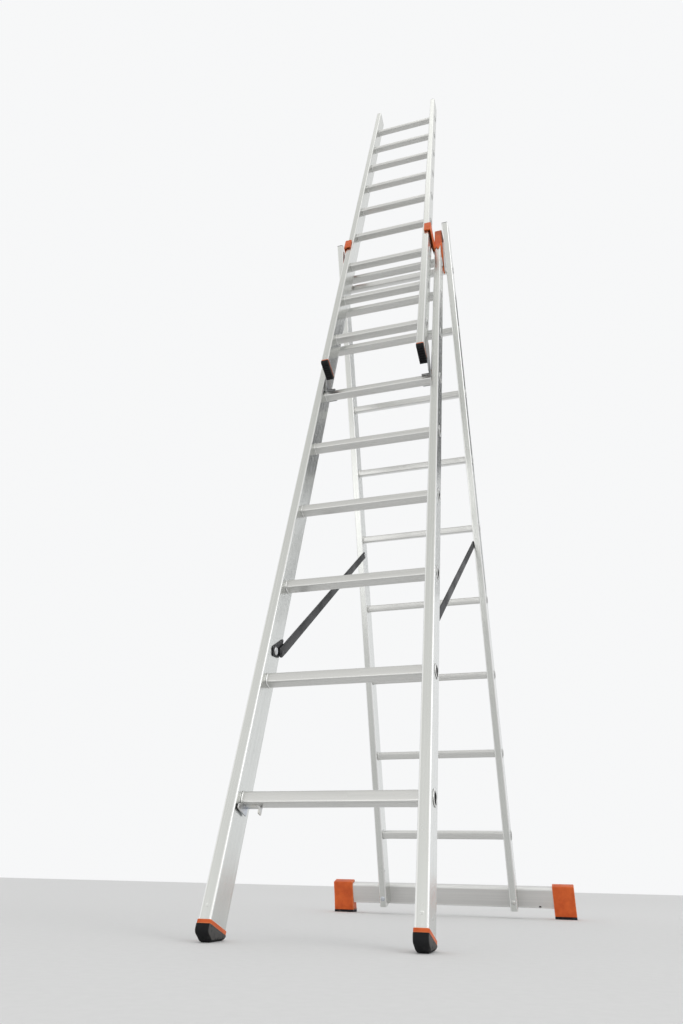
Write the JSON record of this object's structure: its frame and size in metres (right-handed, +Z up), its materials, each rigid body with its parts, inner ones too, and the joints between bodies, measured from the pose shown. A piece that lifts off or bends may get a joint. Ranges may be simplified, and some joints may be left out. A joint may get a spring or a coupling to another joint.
{
  "type": "extension ladder",
  "caption": "Aluminium combination ladder: two sections open as an A-frame with folding struts and a wide stabiliser, and a narrower section slides up the front through plastic guides.",
  "frame": {"origin": "on the floor, in the middle of the open ladder's footprint", "axes": "+X along the rungs, +Y from the front section to the rear one, +Z up"},
  "size_m": [0.878, 1.6434, 4.22],
  "materials": {
    "aluminium": "satin extruded",
    "orange_plastic": "moulded",
    "black_rubber": "matte",
    "black_plastic": "moulded",
    "black_steel": "matte",
    "zinc_steel": "zinc plated"
  },
  "bodies": {
    "front_section": {"bracket_bolts": "zinc_steel", "front_catch": "zinc_steel", "front_foot_left": "black_rubber", "front_foot_right": "black_rubber", "front_foot_rims": "orange_plastic", "front_rung_1": "aluminium", "front_rung_2": "aluminium", "front_rung_3": "aluminium", "front_rung_4": "aluminium", "front_rung_5": "aluminium", "front_rung_6": "aluminium", "front_rung_7": "aluminium", "front_rung_8": "aluminium", "front_rung_9": "aluminium", "front_stile_left": "aluminium", "front_stile_right": "aluminium", "guide_left": "orange_plastic", "guide_right": "orange_plastic", "hinge_pins": "zinc_steel", "strut_brackets": "black_steel"},
    "rear_section": {"hinge_plates": "zinc_steel", "rear_end_plugs": "black_plastic", "rear_rung_1": "aluminium", "rear_rung_2": "aluminium", "rear_rung_3": "aluminium", "rear_rung_4": "aluminium", "rear_rung_5": "aluminium", "rear_rung_6": "aluminium", "rear_rung_7": "aluminium", "rear_rung_8": "aluminium", "rear_rung_9": "aluminium", "rear_stile_left": "aluminium", "rear_stile_right": "aluminium", "stabiliser_bar": "aluminium", "stabiliser_bolts": "zinc_steel", "stabiliser_cap_left": "orange_plastic", "stabiliser_cap_right": "orange_plastic", "stabiliser_soles": "black_rubber", "strut_pivot_bolts": "zinc_steel"},
    "top_section": {"top_end_plugs": "black_plastic", "top_feet": "black_rubber", "top_foot_rims": "orange_plastic", "top_hooks": "zinc_steel", "top_rung_1": "aluminium", "top_rung_2": "aluminium", "top_rung_3": "aluminium", "top_rung_4": "aluminium", "top_rung_5": "aluminium", "top_rung_6": "aluminium", "top_rung_7": "aluminium", "top_rung_8": "aluminium", "top_rung_9": "aluminium", "top_stile_left": "aluminium", "top_stile_right": "aluminium"},
    "strut_left": {"strut_left": "black_steel", "strut_rivet_left": "zinc_steel"},
    "strut_right": {"strut_right": "black_steel", "strut_rivet_right": "zinc_steel"}
  },
  "joints": [
    {"name": "frame_fold", "type": "hinge", "parent": "front_section", "child": "rear_section", "pos_m": [0, 0.0059, 2.37513], "axis": [-1, 0, 0], "range_deg": [0, 33.79]},
    {"name": "extension_slide", "type": "slide", "parent": "front_section", "child": "top_section", "axis": [0, 0.3007, 0.9537], "range_m": [-1.4, 0.28]},
    {"name": "strut_left_fold", "type": "hinge", "parent": "rear_section", "child": "strut_left", "pos_m": [-0.2176, 0.34818, 1.26455], "axis": [1, 0, 0], "range_deg": [0, 70.41]},
    {"name": "strut_right_fold", "type": "hinge", "parent": "rear_section", "child": "strut_right", "pos_m": [0.2176, 0.34818, 1.26455], "axis": [1, 0, 0], "range_deg": [0, 70.41]}
  ],
  "couplings": [
    {"joint": "strut_left_fold", "follows": "frame_fold", "ratio": 2.0808},
    {"joint": "strut_right_fold", "follows": "frame_fold", "ratio": 2.0808}
  ]
}
